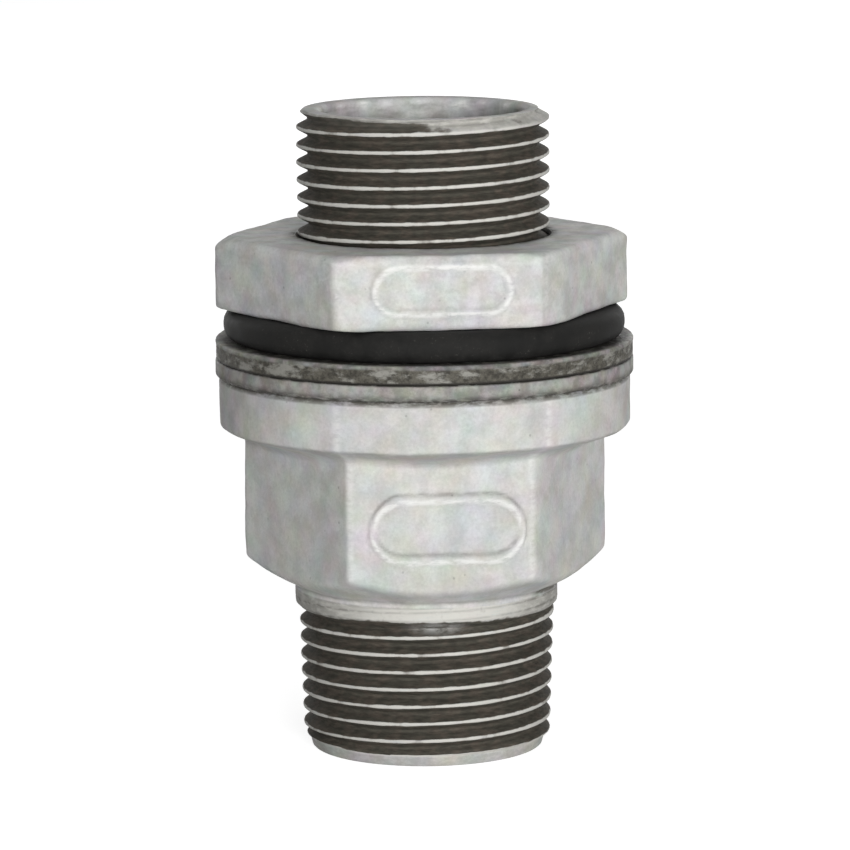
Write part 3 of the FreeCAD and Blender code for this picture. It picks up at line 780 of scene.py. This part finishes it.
def thin_section(angle):
    """The thin washer's outline: its edge up, its top inward, its hole down, its underside out."""
    edge = rounded_edge(thin_rim, thin_bottom, THIN_FOOT_ROLL, -1)
    edge += [(thin_rim, z) for z in steps(thin_bottom + 0.37, thin_top - THIN_ROLL - 0.15, 0.18)]
    edge += rounded_edge(thin_rim, thin_top, THIN_ROLL, 1)
    heights = np.array([z for _, z in edge])
    # Painted shade: dark bands at the edge's foot and top, where the flange and the thick washer meet it.
    dirt_and_painted_light = 0.82 * line_at(heights, thin_bottom, 0.65) + 1.2 * line_at(heights, thin_top, 0.14)
    top = face_rows(thin_rim - THIN_ROLL - 1, WASHER_HOLE + 0.3, thin_top)
    hole = [(WASHER_HOLE, thin_top - 0.3), (WASHER_HOLE, thin_bottom + 0.2)]
    underside = face_rows(WASHER_HOLE + 0.2, thin_rim - 1, thin_bottom)
    return outline((False, strip(edge, dirt_and_painted_light=dirt_and_painted_light)), (False, strip(top + hole + underside, skin=0)))


zinc_sheet, tree, shader = new_material("zinc_sheet")
zinc = node(tree, "Group", {
    "Pale": (0.36, 0.356, 0.332, 1), "Dull": (0.23, 0.227, 0.21, 1), "Patch Size": 2.2, "Pitting": 0.5,
}, node_tree=zinc_skin)
colour = with_dirt_and_painted_light(tree, zinc.outputs["Color"], (0.05, 0.047, 0.042, 1), (0.55, 0.545, 0.52, 1))
coat(tree, shader, colour, zinc.outputs["Roughness"], zinc.outputs["Height"], strength=0.5, depth=0.00008)

RING_STEP = 1.5
THIN_WAVES = ((9, 0.05), (2.5, 0.03))
even_columns = np.radians(np.arange(0, 360, RING_STEP))
thin_washer = ring("thin_washer_ring", even_columns, thin_section, THIN_WAVES, seed=2)
thin_washer.data.materials.append(zinc_sheet)
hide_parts("thin_washer")
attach(thin_washer, "thin_washer")

# ---- Thick washer ------------------------------------------------------------------------------
# A ring sheared from 2.5 mm plate, loose on the thin one. The shear left a bright rolled rim over
# a dark torn edge, on which only patches of zinc have stuck.
THICK_ROLL = 0.25
THICK_FOOT_ROLL = 0.2
THICK_FOOT_INSET = 0.08
THICK_INSET = 0.06
TEAR_START = 0.35
TEAR_FULL = 0.65
TEAR_DEPTH = 0.06
TEAR_ROUGHNESS = 0.09
TEAR_WAVE = 0.03
thick_low, thick_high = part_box("thick_washer")
thick_bottom = thick_low.z / MM + AIR
thick_top = thick_high.z / MM
thick_rim = thick_high.x / MM - THICK_INSET


def thick_section(angle):
    """The thick washer's outline, with its edge torn back below the bright rim."""
    heights = steps(thick_bottom + 0.25, thick_top - THICK_ROLL - 0.15, 0.15)
    torn = fade(heights, thick_top - TEAR_START, thick_top - TEAR_FULL)
    wave = noise.noise(Vector((6 * cos(angle), 6 * sin(angle), 5.0)))
    places = [Vector((22 * cos(angle), 22 * sin(angle), 1.6 * z)) for z in heights]
    tear = [TEAR_DEPTH + TEAR_ROUGHNESS * abs(noise.noise(place)) for place in places]
    tear = torn * (np.array(tear) + TEAR_WAVE * wave)
    # Painted shade: the foot of the edge darkens towards the thin washer below.
    shade = 1.6 * (1 - fade(heights, thick_bottom + 0.05, thick_bottom + 0.4))
    edge = np.column_stack([thick_rim - tear, heights])
    foot = rounded_edge(thick_rim - THICK_FOOT_INSET, thick_bottom, THICK_FOOT_ROLL, -1)
    rim = rounded_edge(thick_rim, thick_top, THICK_ROLL, 1)
    top = face_rows(thick_rim - THICK_ROLL - 0.8, WASHER_HOLE + 0.3, thick_top)
    hole = [(WASHER_HOLE, thick_top - 0.3), (WASHER_HOLE, thick_bottom + 0.3)]
    underside = face_rows(WASHER_HOLE + 0.3, thick_rim - 1, thick_bottom)
    return outline(
        # Painted shade on the foot, and on the top, hole and underside, where the neighbouring pieces cover
        # them.
        (False, strip(foot, cut=1, dirt_and_painted_light=1.6, skin=0.5)),
        (False, strip(edge, cut=torn, dirt_and_painted_light=shade, skin=0.5)),
        (False, strip(rim, cut=0, skin=0.5)),
        (False, strip(top + hole + underside, cut=0, dirt_and_painted_light=0.85, skin=0)))


sheared_plate, tree, shader = new_material("sheared_plate")
zinc = node(tree, "Group", {
    "Pale": (0.28, 0.275, 0.255, 1), "Dull": (0.14, 0.137, 0.123, 1), "Patch Size": 1.8, "Pitting": 0.6,
}, node_tree=zinc_skin)
scabs = grains(tree, 2.4, detail=5, stretch=(0.7, 0.7, 1.6), rough=0.68).outputs["Fac"]
stuck = ramp(tree, scabs, 0.47, 0.64)
flecks = ramp(tree, grains(tree, 0.9, detail=4, rough=0.7).outputs["Fac"], 0.35, 0.65)
torn_tone = mix(tree, flecks, (0.04, 0.0375, 0.031, 1), (0.11, 0.103, 0.085, 1))
torn_edge = mix(tree, stuck, torn_tone, (0.26, 0.255, 0.23, 1))
both = mix(tree, channel(tree, "cut"), zinc.outputs["Color"], torn_edge)
colour = with_dirt_and_painted_light(tree, both, (0.03, 0.028, 0.024, 1), (0.5, 0.495, 0.47, 1))
roughness = ramp(tree, scabs, 0.3, 0.7, 0.7, 0.48)
relief = math(tree, "ADD", zinc.outputs["Height"], math(tree, "MULTIPLY", scabs, 1.4))
coat(tree, shader, colour, roughness, relief, strength=0.7, depth=0.00012)

THICK_WAVES = ((9, 0.05), (1.6, 0.05))
thick_washer = ring("thick_washer_ring", even_columns, thick_section, THICK_WAVES, seed=3)
thick_washer.data.materials.append(sheared_plate)
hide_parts("thick_washer")
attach(thick_washer, "thick_washer")

# ---- Rubber gasket -----------------------------------------------------------------------------
# A moulded black rubber ring, rectangular with well rounded outer edges. The backnut squeezes it
# against the washers, which seals the tank wall.
GASKET_HOLE = 17.0
GASKET_ROUND = 1.7
GASKET_INSET = 0.03
rubber_low, rubber_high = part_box("rubber_gasket")
rubber_bottom = rubber_low.z / MM + AIR
rubber_top = rubber_high.z / MM
rubber_rim = rubber_high.x / MM - GASKET_INSET


def gasket_section(angle):
    """The gasket's outline: its bulging edge up, its top inward, its hole down, its underside out."""
    rows = rounded_edge(rubber_rim, rubber_bottom, GASKET_ROUND, -1)
    rows += rounded_edge(rubber_rim, rubber_top, GASKET_ROUND, 1)
    top = face_rows(rubber_rim - GASKET_ROUND - 1, GASKET_HOLE + 0.4, rubber_top)
    hole = [(GASKET_HOLE, rubber_top - 0.4), (GASKET_HOLE, rubber_bottom + 0.4)]
    underside = face_rows(GASKET_HOLE + 0.4, rubber_rim - GASKET_ROUND - 1, rubber_bottom)
    return outline((False, strip(rows)), (False, strip(top + hole + underside, skin=0)))


black_rubber, tree, shader = new_material("black_rubber")
bloom = grains(tree, 3.5, detail=5, rough=0.65).outputs["Fac"]
pores = grains(tree, 0.35, detail=3, rough=0.7).outputs["Fac"]
dust = math(tree, "MULTIPLY", ramp(tree, pores, 0.6, 0.72), ramp(tree, bloom, 0.45, 0.65))
bloomed = ramp(tree, bloom, 0.35, 0.68)
rubber_tone = mix(tree, bloomed, (0.010, 0.010, 0.0095, 1), (0.019, 0.0185, 0.0175, 1))
rubber_tone = mix(tree, dust, rubber_tone, (0.06, 0.058, 0.053, 1))
roughness = ramp(tree, bloom, 0.3, 0.7, 0.62, 0.8)
coat(tree, shader, rubber_tone, roughness, pores, strength=0.4, depth=0.00006, gloss=0.1)

GASKET_WAVES = ((12, 0.06),)
gasket = ring("gasket_ring", even_columns, gasket_section, GASKET_WAVES, seed=4)
gasket.data.materials.append(black_rubber)
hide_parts("rubber_gasket")
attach(gasket, "gasket")

# ---- Backnut -----------------------------------------------------------------------------------
# A cast hexagon nut, zinc dipped and then tapped, so its thread is dark. It screws down the barrel
# onto the gasket. Its edges are soft from casting, it was cast a little off the centre of its
# thread, one corner is worn, and one flat carries a raised capsule outline like the casting's.
NUT_CLOCKING = radians(0.5)
NUT_APOTHEM = 23.8745
NUT_ROUND = 2
NUT_WORN_CORNER = 24.95
NUT_WORN_WAY = radians(-40)
NUT_WORN_BLEND = 0.25
NUT_EDGE = 0.85
NUT_HOLE = 15.2955
NUT_HOLE_CHAMFER = 1.6
NUT_CHAMFER_START = 26.168
NUT_CHAMFER_SLOPE = 1.4 / 0.9
NUT_FOOT_SLOPE = 1.4 / 0.3
NUT_CHAMFER_EXTRA = 0.55
NUT_CHAMFER_BLEND = 0.5
NUT_OFF_CENTRE = -0.25
NUT_CAPSULE_HEIGHT = 7.4
NUT_CAPSULE_REACH = 5.634
NUT_CAPSULE_SHIFT = -0.1
NUT_CAPSULE_RISE = 0.5
NUT_BEAD_HEIGHT = 0.4
nut_low, nut_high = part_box("backnut")
nut_bottom = nut_low.z / MM + AIR
nut_top = nut_high.z / MM
nut_middle = (nut_bottom + nut_top) / 2
NUT_GROOVE = BARREL_GROOVE + THREAD_PITCH / 2 + 3 * THREAD_PITCH
NUT_THREAD_ROOT = NUT_HOLE + THREAD_DEPTH
nut_heights = np.concatenate([
    nut_bottom + NUT_EDGE * (1 - np.sin(np.radians(steps(90, 15, 15)))),
    steps(nut_bottom + NUT_EDGE, nut_top - NUT_EDGE, 0.25),
    nut_top - NUT_EDGE * (1 - np.sin(np.radians(steps(15, 90, 15))))])


def nut_side(angle, heights):
    """The nut's side at an angle: its hexagon with the bead, both chamfers and soft edges, and its painted
    highlights and shade.
    """
    flat = hexagon_radius(angle, NUT_APOTHEM, NUT_ROUND, NUT_CLOCKING) + NUT_OFF_CENTRE * cos(angle)
    worn = NUT_WORN_CORNER / max(cos(angle - NUT_WORN_WAY - NUT_CLOCKING), 0.1)
    flat = smooth_min(flat, worn, NUT_WORN_BLEND)
    # Painted highlights: bright lines down the corners, partly spanner wear, and a bright band just under
    # the top edge.
    dirt_and_painted_light = rubbed_corner_highlight(angle, NUT_CLOCKING) * line_at(heights, nut_middle, 4)
    dirt_and_painted_light = dirt_and_painted_light - 0.25 * line_at(heights, nut_top - 0.9, 0.7)
    if abs(angle - FRONT - NUT_CLOCKING) < radians(28):
        across = NUT_APOTHEM * tan(angle - FRONT - NUT_CLOCKING) - NUT_CAPSULE_SHIFT
        up = heights - nut_middle - NUT_CAPSULE_RISE
        line = NUT_CAPSULE_HEIGHT / 2 - BEAD_INSET
        flat = flat + bead_height(across, up, NUT_CAPSULE_REACH, line, NUT_BEAD_HEIGHT, BEAD_WIDTH)
        # Painted shade above the nut's capsule bead and a painted highlight on its lower side.
        dirt_and_painted_light = dirt_and_painted_light + bead_shade_and_highlight(across, up, NUT_CAPSULE_REACH, line, rise=0.4, amount=0.12)
    start = NUT_CHAMFER_START - NUT_CHAMFER_EXTRA * cos(angle) ** 4
    over = start + (nut_top - heights) * NUT_CHAMFER_SLOPE
    under = NUT_CHAMFER_START + (heights - nut_bottom) * NUT_FOOT_SLOPE
    side = smooth_min(smooth_min(flat, over, NUT_CHAMFER_BLEND), under, NUT_CHAMFER_BLEND)
    past = np.maximum(np.abs(heights - nut_middle) - (nut_top - nut_middle - NUT_EDGE), 0)
    return side - (NUT_EDGE - np.sqrt(np.maximum(NUT_EDGE**2 - past**2, 0))), dirt_and_painted_light


def nut_section(angle):
    """The nut's outline: its side up, its top inward, its thread down and its underside out."""
    side, dirt_and_painted_light = nut_side(angle, nut_heights)
    around = strip(np.column_stack([side, nut_heights]), dirt_and_painted_light=dirt_and_painted_light)
    mouth = NUT_HOLE + NUT_HOLE_CHAMFER + 0.15
    share = steps(0.06, 1, 0.12)[:, None]
    top_start, top_end = np.array([side[-1], nut_top]), np.array([mouth, nut_top])
    # Painted shade round the mouth of the thread, where the barrel enters the nut.
    mouth_shade = 0.9 * line_at(share[:, 0], 1, 0.1)
    top = strip(top_start + share * (top_end - top_start), dirt_and_painted_light=mouth_shade, skin=0.7)
    heights = thread_levels(angle, NUT_GROOVE, nut_bottom + 0.15, nut_top - 0.15)[::-1]
    past = np.maximum(np.abs(heights - nut_middle) - (nut_top - nut_middle - NUT_HOLE_CHAMFER), 0)
    hole = NUT_HOLE + past
    wall, _ = groove_wall(heights, angle, NUT_GROOVE)
    radii = smooth_max(hole, NUT_THREAD_ROOT - wall, THREAD_ROUND)
    cut = np.maximum(radii - hole, np.minimum(past, 1))
    thread = strip(np.column_stack([radii, heights]), cut=cut, skin=0)
    foot_start, foot_end = np.array([mouth, nut_bottom]), np.array([side[0], nut_bottom])
    foot = strip(foot_start + steps(0, 0.94, 0.16)[:, None] * (foot_end - foot_start), skin=0)
    return outline((False, around), (False, top), (True, thread), (False, foot))


galvanised_nut = dipped_and_cut(
    "galvanised_nut",
    {"Pale": (0.6, 0.6, 0.585, 1), "Dull": (0.49, 0.491, 0.47, 1), "Patch Size": 3.0, "Pitting": 0.3},
    {"Crest": (0.4, 0.395, 0.37, 1), "Iron": (0.03, 0.029, 0.025, 1), "Rust": (0.06, 0.05, 0.04, 1)})

NUT_WAVES = ((6, 0.16), (2, 0.05))
backnut = ring("backnut_hexagon", columns(NUT_CLOCKING, front_width=26), nut_section, NUT_WAVES, seed=5)
backnut.data.materials.append(galvanised_nut)
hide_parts("backnut")
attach(backnut, "backnut")
